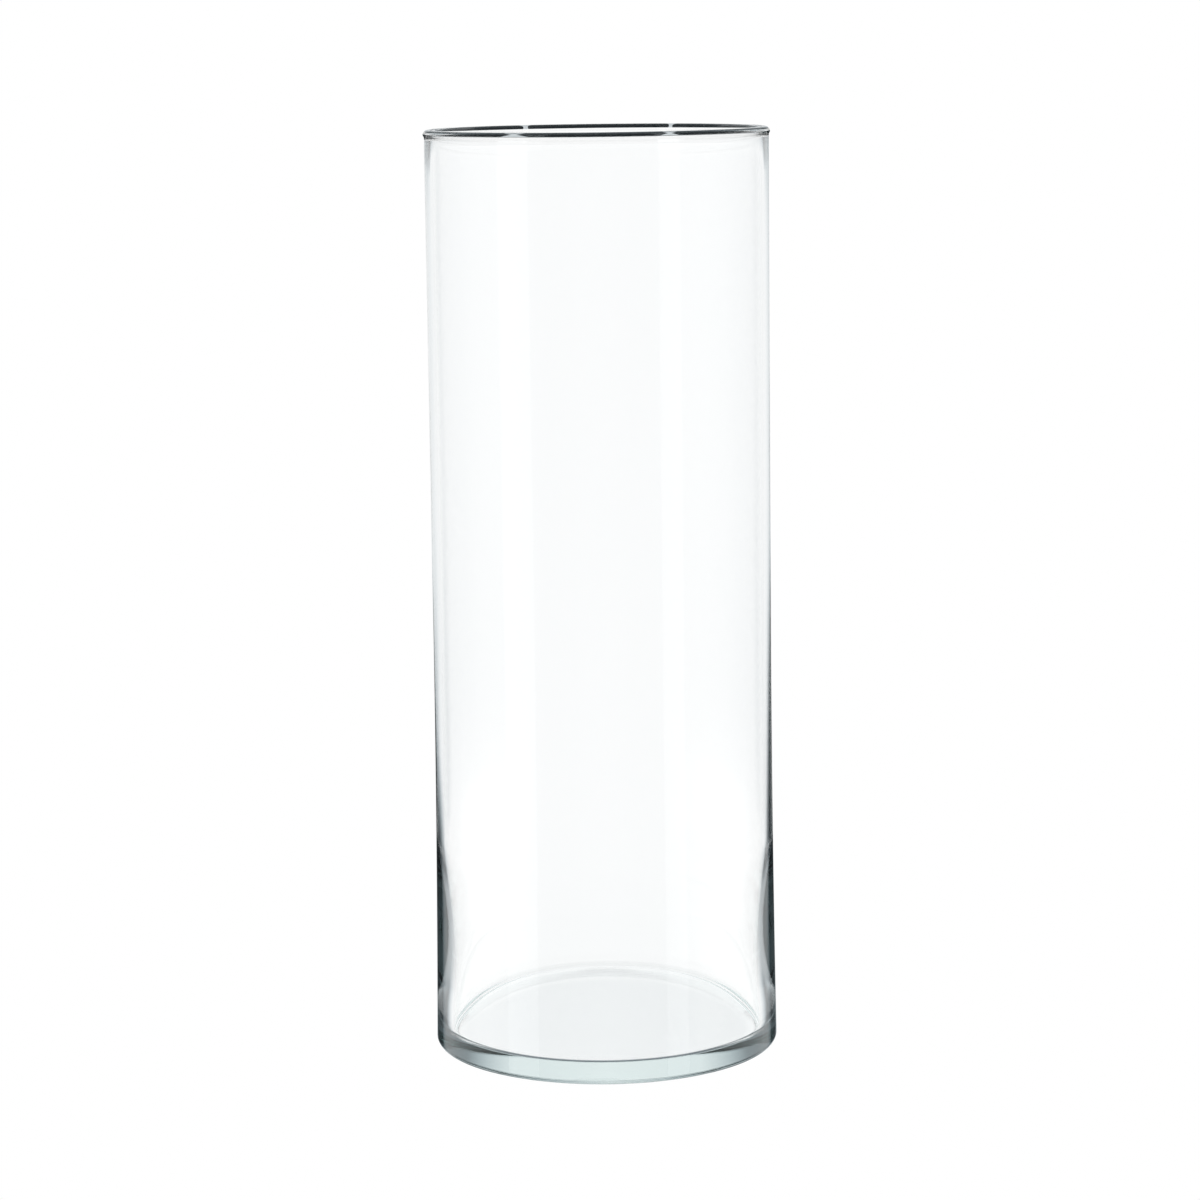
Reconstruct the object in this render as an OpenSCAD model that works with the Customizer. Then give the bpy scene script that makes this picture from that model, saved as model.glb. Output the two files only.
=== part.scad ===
// Glass cylinder vase: one piece of clear glass, blown in a mould.
// The origin is the centre of the foot, on the surface that it stands on, with +Z up.
// All sizes are in millimetres. The glass is drawn once, as a half section, and
// each node is one zone of that section turned about the vertical axis.

/* [Overall size] */
// Height from the foot to the top of the lip
vase_h = 270; // [200:1:400]
// Outside diameter of the straight upper body
body_d = 99.2; // [90:0.2:140]

/* [Wall] */
// Thickness of the wall, down to where it thickens
wall_t = 2.3; // [1.8:0.1:3.2]
// Height below which the wall widens towards the foot
flare_h = 134; // [100:1:160]
// How far the wall has moved outwards at the foot
flare_out = 1.2; // [0.2:0.1:2.4]
// Height below which the inside leans in, so that the wall thickens
lean_top = 62; // [40:1:90]
// Height at which the wall has its full thickness
lean_low = 14; // [12:1:30]
// How much thicker the wall is below that height
lean_in = 2.6; // [0.4:0.1:4]

/* [Lip] */
// Height of the lip zone, measured down from the top
lip_h = 4; // [3.6:0.1:8]
// How far the fire-polished bead stands out past the body
bead_out = 0.35; // [0.1:0.05:0.6]

/* [Base] */
// Thickness of the base where it meets the wall
base_t = 5.6; // [4:0.1:12]
// Radius of the inside corner between the floor and the wall
corner_r = 1.8; // [1:0.1:4]
// Radius of the outside edge of the foot
heel_r = 1.8; // [1:0.1:3.5]
// Rise of the very shallow hollow under the base, at its centre
punt_h = 0.1; // [0.1:0.1:2]
// Height of the heel zone, above the inside corner
heel_h = 9; // [8.8:0.1:20]

/* [Hidden] */

// Facets round each turned surface, and round the small arcs of the section
$fn = 180;
arc_fn = 64;
// Straight steps along each gentle curve of the section
steps = 12;

body_r = body_d / 2;
mouth_r = body_r - wall_t;
corner_z = base_t + corner_r;

// The bead fills the wall and stands out past it on the outside only
bead_r = (wall_t + bead_out) / 2;
bead_z = vase_h - bead_r;

// The zones meet on two level planes and on one upright cylinder
lip_z = vase_h - lip_h;
disc_r = inner_r(corner_z) - corner_r;

clear_glass = [0.86, 0.93, 0.93, 0.35];
base_glass = [0.72, 0.86, 0.85, 0.5];

// How far the wall has moved outwards at height z
function flare(z) = flare_out * pow(max(flare_h - z, 0) / flare_h, 2);

// How much thicker the wall is at height z: t goes from 0 to 1 as the inside leans in
function lean_t(z) = min(max((lean_top - z) / (lean_top - lean_low), 0), 1);
function lean(z) = lean_in * pow(lean_t(z), 2) * (3 - 2 * lean_t(z));

// Radius of the outside and of the inside at height z
function outer_r(z) = body_r + flare(z);
function inner_r(z) = mouth_r + flare(z) - lean(z);

// Height of the hollow under the base at radius r
function punt_z(r) = punt_h * (1 - pow(r / disc_r, 2));

// Evenly spaced values from above low up to high
function levels(low, high) = [for (i = [1:steps]) low + (high - low) * i / steps];

// Everything inside the outer surface, from the axis outwards
module outer_section() {
    heights = concat([heel_r], levels(heel_r, flare_h));
    wall_line = [for (z = heights) [outer_r(z), z]];
    polygon(concat([[0, heel_r]], wall_line, [[body_r, bead_z], [0, bead_z]]));
    square([outer_r(heel_r) - heel_r, heel_r]);
    translate([outer_r(heel_r) - heel_r, heel_r])
        circle(r = heel_r, $fn = arc_fn);
}

// The room for flowers and water, with its rounded corner at the floor
module cavity_section() {
    heights = concat([corner_z], levels(corner_z, lean_low), levels(lean_low, lean_top),
                     levels(lean_top, flare_h));
    wall_line = [for (z = heights) [inner_r(z), z]];
    polygon(concat([[0, corner_z]], wall_line, [[mouth_r, vase_h], [0, vase_h]]));
    translate([0, base_t])
        square([disc_r, corner_r]);
    translate([disc_r, corner_z])
        circle(r = corner_r, $fn = arc_fn);
}

// The shallow hollow under the base, inside the ring that the vase stands on
module punt_section() {
    polygon(concat([[0, 0], [0, punt_h]], [for (r = levels(0, disc_r)) [r, punt_z(r)]]));
}

// The half section of the glass below the bead
module glass_section() {
    difference() {
        outer_section();
        cavity_section();
        punt_section();
    }
}

// The part of the glass between two radii and two heights, turned about the axis
module glass_zone(r_low, r_high, z_low, z_high) {
    rotate_extrude()
        intersection() {
            glass_section();
            translate([r_low, z_low])
                square([r_high - r_low, z_high - z_low]);
        }
}

// The fire-polished lip: the end of the wall with a round bead on it
module lip() {
    color(clear_glass)
        rotate_extrude() {
            translate([mouth_r, lip_z])
                square([wall_t, bead_z - lip_z]);
            translate([mouth_r + bead_r, bead_z])
                circle(r = bead_r, $fn = arc_fn);
        }
}

// The wall, straight above and thicker towards the base
module side_wall() {
    color(clear_glass)
        glass_zone(disc_r, body_d, heel_h, lip_z);
}

// The heavy ring that the vase stands on, with the inside corner above it
module heel_ring() {
    color(base_glass)
        glass_zone(disc_r, body_d, 0, heel_h);
}

// The round floor, flat inside and slightly hollow underneath
module base_disc() {
    color(base_glass)
        glass_zone(0, disc_r, 0, base_t);
}

lip();
side_wall();
heel_ring();
base_disc();
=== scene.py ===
"""A tall clear glass cylinder vase, as one seamless lathe-turned mesh, on a white floor.

Sizes of the vase, and of the clear bands round its lip, are in millimetres up to the point
where a mesh is made. Everything else is in metres.
"""
import math
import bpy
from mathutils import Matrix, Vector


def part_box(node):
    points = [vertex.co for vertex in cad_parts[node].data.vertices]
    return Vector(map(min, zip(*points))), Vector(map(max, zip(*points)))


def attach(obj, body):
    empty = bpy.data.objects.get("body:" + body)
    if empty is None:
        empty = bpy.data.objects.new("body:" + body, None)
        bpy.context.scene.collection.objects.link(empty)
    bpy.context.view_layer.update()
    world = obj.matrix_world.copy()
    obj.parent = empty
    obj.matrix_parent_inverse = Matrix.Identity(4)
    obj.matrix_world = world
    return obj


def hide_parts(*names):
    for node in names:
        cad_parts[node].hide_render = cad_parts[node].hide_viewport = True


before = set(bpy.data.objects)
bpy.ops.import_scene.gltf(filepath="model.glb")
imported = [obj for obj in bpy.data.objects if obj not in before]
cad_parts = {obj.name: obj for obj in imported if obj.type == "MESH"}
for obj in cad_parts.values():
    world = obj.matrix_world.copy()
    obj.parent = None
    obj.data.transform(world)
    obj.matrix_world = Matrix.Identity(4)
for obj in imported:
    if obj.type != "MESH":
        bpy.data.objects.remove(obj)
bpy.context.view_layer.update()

from types import SimpleNamespace

import bpy
import numpy as np
from mathutils import Matrix

MM = 0.001

# The vase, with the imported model's height and base
VASE_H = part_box("lip")[1].z / MM
BASE_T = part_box("base_disc")[1].z / MM
BODY_R = 49.6  # outside of the straight wall
WALL_T = 2.3  # thickness of the straight wall
FLARE_H = 134.0  # height below which the wall widens
FLARE_OUT = 1.2  # how far the wall has moved outwards at the foot
LEAN_TOP = 62.0  # height below which the inside leans in, so that the wall thickens
LEAN_LOW = 14.0  # height at which the wall has its full thickness
LEAN_IN = 2.6  # how much thicker the wall is there
BEAD_OUT = 0.35  # how far the lip's round bead stands out
BEAD_RUN = 0.9  # height over which the wall swells out to the bead
CORNER_R = 1.8  # inside corner between the floor and the wall
HEEL_R = 1.8  # outside edge of the foot
PUNT_H = 0.1  # rise of the hollow under the base
MOUTH_R = BODY_R - WALL_T  # inside of the straight wall
BEAD_R = (WALL_T + BEAD_OUT) / 2  # half the bead's width
LIP_R = MOUTH_R + 2 * BEAD_R  # outside of the bead

# The mesh: faces round the vase, and the height below which its inside has finer steps
SEGMENTS = 288
FINE_BELOW = LEAN_TOP + 4

# The camera, the floor, the strip lights, and how often light may bounce
CAMERA_AT = (0, -1.0100, 0.2951)
LENS = 104.4
FLOOR_R = 3.0
FLOOR_SIDES = 64
FLOOR_Z = -0.0005
STRIP_DISTANCE = 1.5
LIGHT_BOUNCES = 32

# The light, where 1 is full white
LOW_SIDE_LIGHT = 1.12  # low at both sides, in one reflection
BOTH_WALLS_LIGHT = 0.9  # trapped light that has passed both walls
LIP_GAP_LIGHT = 0.65  # in the gaps of the lip's dark lines
HORIZON_DIP = 0.15  # how far the dark ground's horizon is below level behind the vase
DARK_TINT = (0.80, 0.98, 1.08, 1)  # the colour of the weakest light
WHITE = (1, 1, 1, 1)

# What the counts of a ray's meetings say of its way through the glass
ONE_WALL = 2  # crossings of a ray that has passed one wall or the foot
FEW = 2  # bounces from which it has gone round in the thick base
MANY = 7  # bounces from which it has been trapped
IN_LIP = 2  # bands of a ray that has come through the lip
IN_GAP = 3  # bands of a ray that has also met a gap

# The clear bands: how far they stand off the glass, and how far the collars reach down
COLLAR_OFF = 0.05
GAP_OFF = 0.15
OUTSIDE_COLLAR_H = 2.7
INSIDE_COLLAR_H = 3.8

# The gaps that two tall lights would leave in the dark lines of the lip: the angles about the
# vase where each starts and ends, and how far its lowest and highest points are below the top
GAPS = {
    "front_left": (238.0, 248.0, 1.1, -0.05),
    "front_right": (290.5, 297.0, 1.1, -0.05),
    "back_left": (111.5, 119.5, 2.2, 0.3),
    "back_right": (60.0, 66.0, 2.2, 0.3),
}


def smooth(t):
    """Eases from 0 to 1 as t goes from 0 to 1, and stays there outside."""
    t = np.clip(t, 0, 1)
    return t * t * (3 - 2 * t)


def flare(z):
    """How far the wall has moved outwards at height z."""
    return FLARE_OUT * (np.maximum(FLARE_H - z, 0) / FLARE_H) ** 2


def outer_r(z):
    """Outside radius at height z, with the swelling under the bead."""
    bead = BEAD_OUT * smooth((z - (VASE_H - BEAD_R - BEAD_RUN)) / BEAD_RUN)
    return BODY_R + flare(z) + bead


def inner_r(z):
    """Inside radius at height z: it follows the outside, then leans in where the glass thickens."""
    return MOUTH_R + flare(z) - LEAN_IN * smooth((LEAN_TOP - z) / (LEAN_TOP - LEAN_LOW))


def spaced(start, end, count):
    """Evenly spaced values after start, up to end."""
    return np.linspace(start, end, count + 1)[1:]


def hollow(radius, count):
    """Points of the shallow hollow under the base, out to its rim."""
    r = spaced(0, radius, count)
    return np.column_stack([r, PUNT_H * (1 - (r / radius) ** 2)])


def level(start, end, z, count):
    """Points of a level line at height z, from one radius to another."""
    r = spaced(start, end, count)
    return np.column_stack([r, np.full_like(r, z)])


def wall(r_at, start, end, count):
    """Points of one side of the wall, from one height to another."""
    z = spaced(start, end, count)
    return np.column_stack([r_at(z), z])


def arc(r_mid, z_mid, radius, start, end, count):
    """Points of an arc, from one angle in degrees to another."""
    angle = np.radians(spaced(start, end, count))
    return np.column_stack([r_mid + radius * np.cos(angle), z_mid + radius * np.sin(angle)])


def section():
    """The glass's half section as radius and height, from the underside round to the floor.

    It leaves out the two points on the axis, and each stretch starts where the last one ended.
    """
    corner_z = BASE_T + CORNER_R
    disc_r = inner_r(corner_z) - CORNER_R
    heel_mid = outer_r(HEEL_R) - HEEL_R
    bead_z = VASE_H - BEAD_R
    return np.vstack([
        hollow(disc_r, count=41),
        level(disc_r, heel_mid, 0, count=5),
        arc(heel_mid, HEEL_R, HEEL_R, -90, 0, count=15),
        wall(outer_r, HEEL_R, FLARE_H, count=49),
        wall(outer_r, FLARE_H, bead_z - BEAD_RUN, count=13),
        wall(outer_r, bead_z - BEAD_RUN, bead_z, count=7),
        arc(MOUTH_R + BEAD_R, bead_z, BEAD_R, 0, 180, count=27),
        wall(inner_r, bead_z, FLARE_H, count=13),
        wall(inner_r, FLARE_H, FINE_BELOW, count=21),
        wall(inner_r, FINE_BELOW, corner_z, count=61),
        arc(disc_r, corner_z, CORNER_R, 0, -90, count=11),
        level(disc_r, 0, BASE_T, count=35)[:-1],
    ])


def in_scene(name, data):
    """A new object in the scene."""
    obj = bpy.data.objects.new(name, data)
    bpy.context.scene.collection.objects.link(obj)
    return obj


def lathe(name, points, bottom_pole, top_pole):
    """A closed mesh of a half section turned about Z, with one vertex at each pole."""
    turn = np.linspace(0, 2 * math.pi, SEGMENTS, endpoint=False)
    radius = points[:, :1] * MM
    height = points[:, 1:] * MM
    x = radius * np.cos(turn)
    y = radius * np.sin(turn)
    rings = np.dstack([x, y, np.broadcast_to(height, x.shape)]).reshape(-1, 3)
    verts = np.vstack([rings, [[0, 0, bottom_pole * MM], [0, 0, top_pole * MM]]])
    last_ring = (len(points) - 1) * SEGMENTS
    bottom = len(points) * SEGMENTS
    top = bottom + 1
    faces = []
    for s in range(SEGMENTS):
        t = (s + 1) % SEGMENTS
        faces.append((bottom, t, s))
        for low in range(0, last_ring, SEGMENTS):
            high = low + SEGMENTS
            faces.append((low + s, low + t, high + t, high + s))
        faces.append((last_ring + s, last_ring + t, top))
    mesh = bpy.data.meshes.new(name)
    mesh.from_pydata(verts.tolist(), [], faces)
    mesh.shade_smooth()
    mesh.update()
    return in_scene(name, mesh)


class Nodes:
    """Adds nodes to an emptied tree. Values are numbers or the outputs of other nodes."""

    def __init__(self, tree):
        self.tree = tree
        tree.nodes.clear()

    def add(self, kind, inputs=(), **settings):
        """A new node, with its inputs by name or number."""
        node = self.tree.nodes.new(kind)
        for key, value in settings.items():
            setattr(node, key, value)
        for key, value in dict(inputs).items():
            if isinstance(value, bpy.types.NodeSocket):
                self.tree.links.new(value, node.inputs[key])
            else:
                node.inputs[key].default_value = value
        return node

    def math(self, operation, *values):
        """One of the maths node's operations."""
        return self.add("ShaderNodeMath", dict(enumerate(values)), operation=operation).outputs[0]

    def product(self, first, *others):
        """All the values multiplied together."""
        for value in others:
            first = self.math("MULTIPLY", first, value)
        return first

    def at_least(self, value, count):
        """1 where a whole number is count or more, and 0 elsewhere."""
        return self.math("GREATER_THAN", value, count - 0.5)

    def at_most(self, value, count):
        """1 where a whole number is count or less, and 0 elsewhere."""
        return self.math("LESS_THAN", value, count + 0.5)

    def blend(self, share, first, second):
        """The first value where share is 0, and the second where it is 1."""
        return self.add("ShaderNodeMix", {0: share, 2: first, 3: second}, data_type="FLOAT").outputs[0]

    def scaled(self, light, share, factor):
        """Light multiplied by a factor where share is 1."""
        return self.math("MULTIPLY", light, self.blend(share, 1.0, factor))

    def darkened(self, light, *shares):
        """Light with the product of the shares taken away."""
        return self.math("MULTIPLY", light, self.math("SUBTRACT", 1.0, self.product(*shares)))

    def ramp(self, value, points):
        """Straight runs through (value, result) points, level past both ends."""
        low = points[0][0]
        high = points[-1][0]
        spread = self.add("ShaderNodeMapRange", {"Value": value, "From Min": low, "From Max": high})
        curve = self.add("ShaderNodeValToRGB", {"Fac": spread.outputs[0]})
        stops = curve.color_ramp.elements
        stops[0].color = (points[0][1],) * 3 + (1,)
        stops[1].color = (points[-1][1],) * 3 + (1,)
        for at, grey in points[1:-1]:
            stops.new((at - low) / (high - low)).color = (grey, grey, grey, 1)
        return curve.outputs[0]


def new_material(name):
    """A new material, and the Nodes that fill it."""
    material = bpy.data.materials.new(name)
    material.use_nodes = True
    return material, Nodes(material.node_tree)


def clear_glass():
    """Clear soda-lime glass, faintly blue-green where it is thick, with very low waves."""
    material, nodes = new_material("clear_glass")
    at = nodes.add("ShaderNodeTexCoord").outputs["Object"]

    # Slow waves left by the mould, drawn out along the wall, and a finer ripple on them
    drawn = nodes.add("ShaderNodeMapping", {"Vector": at, "Scale": (1, 1, 0.25)}).outputs[0]
    waves = nodes.add("ShaderNodeTexNoise", {"Vector": drawn, "Scale": 45.0, "Detail": 1.5})
    ripple = nodes.add("ShaderNodeTexNoise", {"Vector": at, "Scale": 240.0, "Detail": 2.0})
    ripple_share = 0.06
    height = nodes.math("MULTIPLY_ADD", ripple.outputs["Fac"], ripple_share, waves.outputs["Fac"])
    bump = nodes.add("ShaderNodeBump", {"Height": height, "Strength": 1.0, "Distance": 0.03 * MM})

    glass = nodes.add("ShaderNodeBsdfPrincipled", {
        "Base Color": WHITE, "Roughness": 0.0, "IOR": 1.52,
        "Transmission Weight": 1.0, "Normal": bump.outputs[0]})
    tint = nodes.add("ShaderNodeVolumeAbsorption", {"Color": (0.78, 0.89, 0.88, 1), "Density": 10.0})
    nodes.add("ShaderNodeOutputMaterial", {"Surface": glass.outputs[0], "Volume": tint.outputs[0]})
    return material


def glass_vase():
    """The whole vase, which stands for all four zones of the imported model."""
    vase = lathe("vase", section(), PUNT_H, BASE_T)
    vase.data.materials.append(clear_glass())
    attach(vase, "root")
    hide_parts("lip", "side_wall", "heel_ring", "base_disc")


def ray_facts(nodes):
    """Where a ray of light comes from, and what it has met on its way."""
    path = nodes.add("ShaderNodeLightPath").outputs
    source = nodes.add("ShaderNodeTexCoord").outputs["Generated"]
    source = nodes.add("ShaderNodeSeparateXYZ", {"Vector": source}).outputs
    turn = nodes.math("DEGREES", nodes.math("ARCTAN2", source["X"], source["Y"]))
    return SimpleNamespace(
        up=source["Z"],  # from -1, straight below, to 1, straight above
        turn=turn,  # degrees to the camera's right of straight behind the vase
        side=nodes.math("ABSOLUTE", turn),  # the same to either side
        bounces=path["Glossy Depth"],  # how often it was reflected
        crossings=path["Transmission Depth"],  # how often it went into or out of the glass
        bands=path["Transparent Depth"],  # how many clear faces it passed
        from_camera=path["Is Camera Ray"])


def straight_light(nodes, ray):
    """Light seen straight through the glass."""
    return nodes.ramp(ray.up, [(-1, 1.0), (-0.6, 1.0), (-0.45, 1.08), (0.35, 1.08), (0.6, 0.6), (1, 0.6)])


def dark_ground(nodes, ray):
    """1 on the dark ground below a horizon, which dips towards both sides."""
    dip = nodes.ramp(ray.turn, [
        (-180, 0.085), (-45, 0.085), (-36, 0.08), (-26, 0.066), (-20, 0.06), (-16, 0.048),
        (-12, 0.018), (-8, 0.0), (10, 0.0), (14, 0.008), (18, 0.022), (22, 0.04),
        (26, 0.055), (30, 0.075), (35, 0.09), (180, 0.095)])
    over_horizon = nodes.math("ADD", nodes.math("ADD", ray.up, dip), HORIZON_DIP)
    return nodes.ramp(over_horizon, [
        (-0.8, 0.3), (-0.2, 0.35), (-0.15, 0.5), (-0.1, 0.95), (-0.01, 1.0), (0.008, 0.3), (0.018, 0.0)])


def reflected_light(nodes, ray, ground):
    """Light seen in one reflection: a backdrop with rails and a table, over the dark ground."""
    backdrop = nodes.ramp(ray.side, [(0, 1.0), (38, 0.98), (60, 0.72), (110, 0.6), (140, 0.45), (180, 0.45)])
    low = nodes.ramp(ray.up, [(-1, 0.0), (-0.48, 0.0), (-0.42, 1.0), (-0.24, 1.0), (-0.19, 0.0), (1, 0.0)])
    at_sides = nodes.ramp(ray.side, [(0, 0.0), (40, 0.0), (48, 1.0), (90, 1.0), (130, 0.0), (180, 0.0)])
    backdrop = nodes.blend(nodes.product(low, at_sides), backdrop, LOW_SIDE_LIGHT)

    depth = nodes.ramp(ray.side, [(0, 0.99), (31, 0.97), (37, 0.3), (41, 0.0), (180, 0.0)])
    light = nodes.darkened(backdrop, ground, nodes.product(depth, nodes.at_most(ray.crossings, ONE_WALL)))

    rail = nodes.ramp(ray.turn, [
        (-180, 1.0), (-32, 0.97), (-24, 0.78), (-18, 0.62), (-12, 0.95), (0, 1.0),
        (6, 0.8), (10, 0.4), (16, 0.45), (21, 0.8), (28, 0.97), (180, 1.0)])
    rail_share = nodes.ramp(ray.up, [(-1, 0), (-0.25, 0), (-0.21, 1), (-0.17, 1), (-0.13, 0.45), (1, 0.45)])
    light = nodes.scaled(light, rail_share, rail)

    table = nodes.ramp(ray.side, [(0, 0.25), (85, 0.25), (120, 0.8), (180, 1.0)])
    table_share = nodes.ramp(ray.up, [(-1, 1.0), (-0.52, 1.0), (-0.44, 0.0), (1, 0.0)])
    light = nodes.scaled(light, table_share, table)

    above = nodes.ramp(ray.up, [(0, 1.0), (0.18, 1.0), (0.24, 0.8), (0.30, 0.75), (0.45, 0.5), (1, 0.5)])
    return nodes.product(light, above)


def few_bounces_light(nodes, ray, ground, is_up):
    """Light seen after a few reflections, in the thick base."""
    from_above = nodes.ramp(ray.side, [(0, 1.0), (24, 0.92), (34, 0.62), (45, 0.25), (54, 0.2), (180, 0.2)])
    from_below = nodes.ramp(ray.side, [(0, 0.95), (24, 0.85), (34, 0.5), (44, 0.2), (54, 0.15), (180, 0.15)])
    by_height = nodes.ramp(ray.up, [(-1, 0.1), (-0.5, 0.1), (-0.4, 0.3), (-0.35, 1.0), (0.6, 1.0), (1, 0.7)])
    light = nodes.product(nodes.blend(is_up, from_below, from_above), by_height)

    # The dark ground shows again near the wall's edges, after one reflection more
    edge_turn = nodes.ramp(ray.side, [(0, 0), (6, 0), (10, 0.97), (30, 0.97), (36, 0), (180, 0)])
    edge_up = nodes.ramp(ray.up, [(-1, 0), (-0.27, 0), (-0.24, 1), (-0.18, 1), (-0.15, 0), (1, 0)])
    in_edge = nodes.product(edge_turn, edge_up, nodes.at_least(ray.bounces, FEW + 1))
    return nodes.darkened(light, in_edge, ground)


def many_bounces_light(nodes, ray, is_up):
    """Light that has been trapped in the base or the wall."""
    from_above = nodes.ramp(ray.side, [(0, 0.8), (35, 0.75), (60, 0.25), (90, 0.07), (180, 0.07)])
    from_below = nodes.ramp(ray.side, [(0, 0.8), (8, 0.8), (14, 0.05), (180, 0.05)])
    light = nodes.blend(is_up, from_below, from_above)
    return nodes.blend(nodes.at_least(ray.crossings, ONE_WALL + 1), light, BOTH_WALLS_LIGHT)


def foot_darkened(nodes, ray, light):
    """The light, with dark sides where it comes through the foot alone."""
    rise = nodes.ramp(ray.side, [(0, 0.0), (25, 0.0), (31, 0.06), (180, 0.06)])
    foot_up = nodes.math("SUBTRACT", ray.up, rise)
    foot_share = nodes.ramp(foot_up, [(-1, 0), (-0.05, 0), (0.01, 1), (0.23, 1), (0.32, 0), (1, 0)])
    straight = nodes.product(nodes.at_most(ray.crossings, ONE_WALL), nodes.at_most(ray.bounces, FEW))
    in_foot = nodes.product(straight, foot_share)
    foot_sides = nodes.ramp(ray.side, [(0, 0.85), (12, 0.6), (20, 0.25), (27, 0.02), (180, 0.02)])
    return nodes.scaled(light, in_foot, foot_sides)


def lip_light(nodes, ray):
    """Light in the lip: its refracted light comes from the dark ground, apart from its gaps."""
    rise = nodes.ramp(ray.side, [(0, 0.0), (4, 0.0), (10, 0.055), (180, 0.055)])
    lip_up = nodes.math("SUBTRACT", ray.up, rise)
    light = nodes.ramp(lip_up, [(-1, 0.02), (-0.06, 0.02), (-0.035, 1.0), (1, 1.0)])
    dark_top = nodes.ramp(ray.up, [(-1, 1.0), (0.25, 1.0), (0.35, 0.1), (1, 0.1)])
    light = nodes.scaled(light, nodes.at_least(ray.bounces, 1), dark_top)
    return nodes.math("MAXIMUM", light, nodes.product(nodes.at_least(ray.bands, IN_GAP), LIP_GAP_LIGHT))


def studio():
    """White surroundings, darker where the glass would show a studio's dark parts."""
    world = bpy.data.worlds.new("studio")
    bpy.context.scene.world = world
    world.use_nodes = True
    nodes = Nodes(world.node_tree)
    ray = ray_facts(nodes)
    ground = dark_ground(nodes, ray)
    is_up = nodes.ramp(ray.up, [(-1, 0), (0.0, 0), (0.05, 1), (1, 1)])

    light = straight_light(nodes, ray)
    light = nodes.blend(nodes.at_least(ray.bounces, 1), light, reflected_light(nodes, ray, ground))
    light = nodes.blend(nodes.at_least(ray.bounces, FEW), light, few_bounces_light(nodes, ray, ground, is_up))
    light = nodes.blend(nodes.at_least(ray.bounces, MANY), light, many_bounces_light(nodes, ray, is_up))
    light = foot_darkened(nodes, ray, light)
    light = nodes.blend(nodes.at_least(ray.bands, IN_LIP), light, lip_light(nodes, ray))
    light = nodes.blend(ray.from_camera, light, 1.0)

    tone = nodes.add("ShaderNodeMix", {0: light, 6: DARK_TINT, 7: WHITE}, data_type="RGBA").outputs[2]
    glow = nodes.add("ShaderNodeBackground", {"Color": tone, "Strength": light}).outputs[0]
    nodes.add("ShaderNodeOutputWorld", {"Surface": glow})


def strip_light(name, turn, width, low, high, power):
    """A tall soft light to one side of the camera, seen only as a reflection in the glass."""
    data = bpy.data.lights.new(name, "AREA")
    data.shape = "RECTANGLE"
    data.size = width
    data.size_y = high - low
    data.energy = power
    lamp = in_scene(name, data)
    angle = math.radians(turn)
    lamp.location = (STRIP_DISTANCE * math.sin(angle), -STRIP_DISTANCE * math.cos(angle), (low + high) / 2)
    lamp.rotation_euler = (math.pi / 2, 0, angle)
    lamp.visible_camera = False
    lamp.visible_transmission = False
    lamp.visible_diffuse = False


def clear_band(name, verts, faces):
    """Clear faces close to the lip. They show nothing, and the studio counts those that a ray passes."""
    mesh = bpy.data.meshes.new(name)
    mesh.from_pydata(verts, [], faces)
    obj = in_scene(name, mesh)
    material, nodes = new_material(name)
    clear = nodes.add("ShaderNodeBsdfTransparent").outputs[0]
    nodes.add("ShaderNodeOutputMaterial", {"Surface": clear})
    mesh.materials.append(material)


def on_lip(radius, turn, z):
    """A point at a radius, an angle in degrees and a height, from millimetres."""
    angle = math.radians(turn)
    return (radius * math.cos(angle) * MM, radius * math.sin(angle) * MM, z * MM)


def collar(name, radius, low, high):
    """A clear band all the way round, between two heights, in steps of 2 degrees."""
    turns = range(0, 360, 2)
    verts = [on_lip(radius, turn, z) for z in (low, high) for turn in turns]
    count = len(turns)
    faces = []
    for s in range(count):
        t = (s + 1) % count
        faces.append((s, t, count + t, count + s))
    clear_band(name, verts, faces)


def gap(name, radius, low, high, start, end):
    """Two clear points that meet at mid height, so that a dark line tapers away and back."""
    middle = (low + high) / 2
    steps = 12
    taper = 1.25
    verts = []
    faces = []
    for edge in (low, high):
        first = len(verts)
        for k, turn in enumerate(np.linspace(start, end, steps + 1)):
            reach = min(1.0, taper - taper * abs(2 * k / steps - 1))
            verts += [on_lip(radius, turn, edge), on_lip(radius, turn, edge + (middle - edge) * reach)]
        for corner in range(first, first + 2 * steps, 2):
            faces.append((corner, corner + 2, corner + 3, corner + 1))
    clear_band(name, verts, faces)


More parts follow.
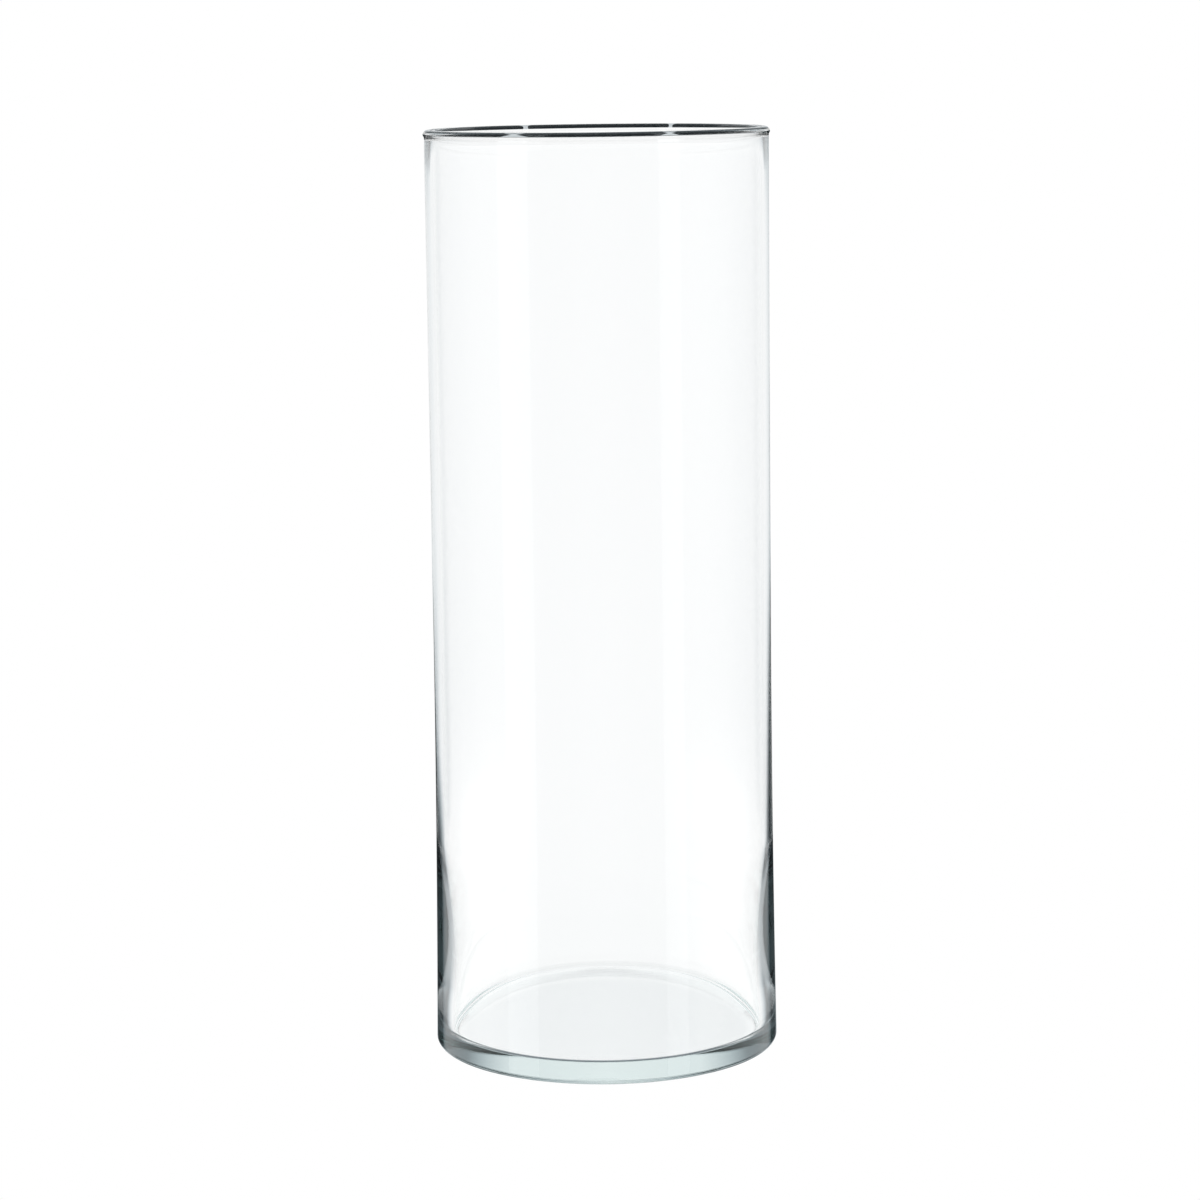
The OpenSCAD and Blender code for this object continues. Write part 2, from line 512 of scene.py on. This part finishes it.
def pale_floor():
    """A plain white floor, lit evenly."""
    turn = np.linspace(0, 2 * math.pi, FLOOR_SIDES, endpoint=False)
    rim = [(FLOOR_R * math.cos(a), FLOOR_R * math.sin(a), FLOOR_Z) for a in turn]
    mesh = bpy.data.meshes.new("floor")
    mesh.from_pydata(rim, [], [tuple(range(FLOOR_SIDES))])
    obj = in_scene("floor", mesh)
    material, nodes = new_material("floor_white")
    white = nodes.add("ShaderNodeEmission").outputs[0]
    nodes.add("ShaderNodeOutputMaterial", {"Surface": white})
    mesh.materials.append(material)
    obj.visible_glossy = False
    obj.visible_transmission = False


def camera():
    """A long lens, a little above the lip, looking slightly down."""
    data = bpy.data.cameras.new("camera")
    data.lens = LENS
    data.sensor_width = 36
    data.clip_start = 0.05
    cam = in_scene("camera", data)
    pitch = math.radians(-9.150)
    yaw = math.radians(0.031)
    roll = math.radians(-0.690)
    cam.matrix_world = (Matrix.Translation(CAMERA_AT) @ Matrix.Rotation(yaw, 4, "Z")
                        @ Matrix.Rotation(math.pi / 2 + pitch, 4, "X") @ Matrix.Rotation(roll, 4, "Z"))
    bpy.context.scene.camera = cam


glass_vase()
studio()
strip_light("strip_left", turn=-57, width=0.60, low=-0.5, high=0.6, power=1.2)
strip_light("strip_right", turn=48, width=0.40, low=-0.5, high=0.6, power=0.8)
collar("lip_collar_outside", LIP_R + COLLAR_OFF, VASE_H - OUTSIDE_COLLAR_H, VASE_H + COLLAR_OFF)
collar("lip_collar_inside", MOUTH_R - COLLAR_OFF, VASE_H - INSIDE_COLLAR_H, VASE_H + COLLAR_OFF)
for place, (start, end, lowest, highest) in GAPS.items():
    gap("lip_gap_" + place, LIP_R + GAP_OFF, VASE_H - lowest, VASE_H - highest, start, end)
pale_floor()
camera()

scene = bpy.context.scene
scene.view_settings.view_transform = "Standard"
scene.cycles.max_bounces = LIGHT_BOUNCES
scene.cycles.glossy_bounces = LIGHT_BOUNCES
scene.cycles.transmission_bounces = LIGHT_BOUNCES
scene.cycles.transparent_max_bounces = LIGHT_BOUNCES
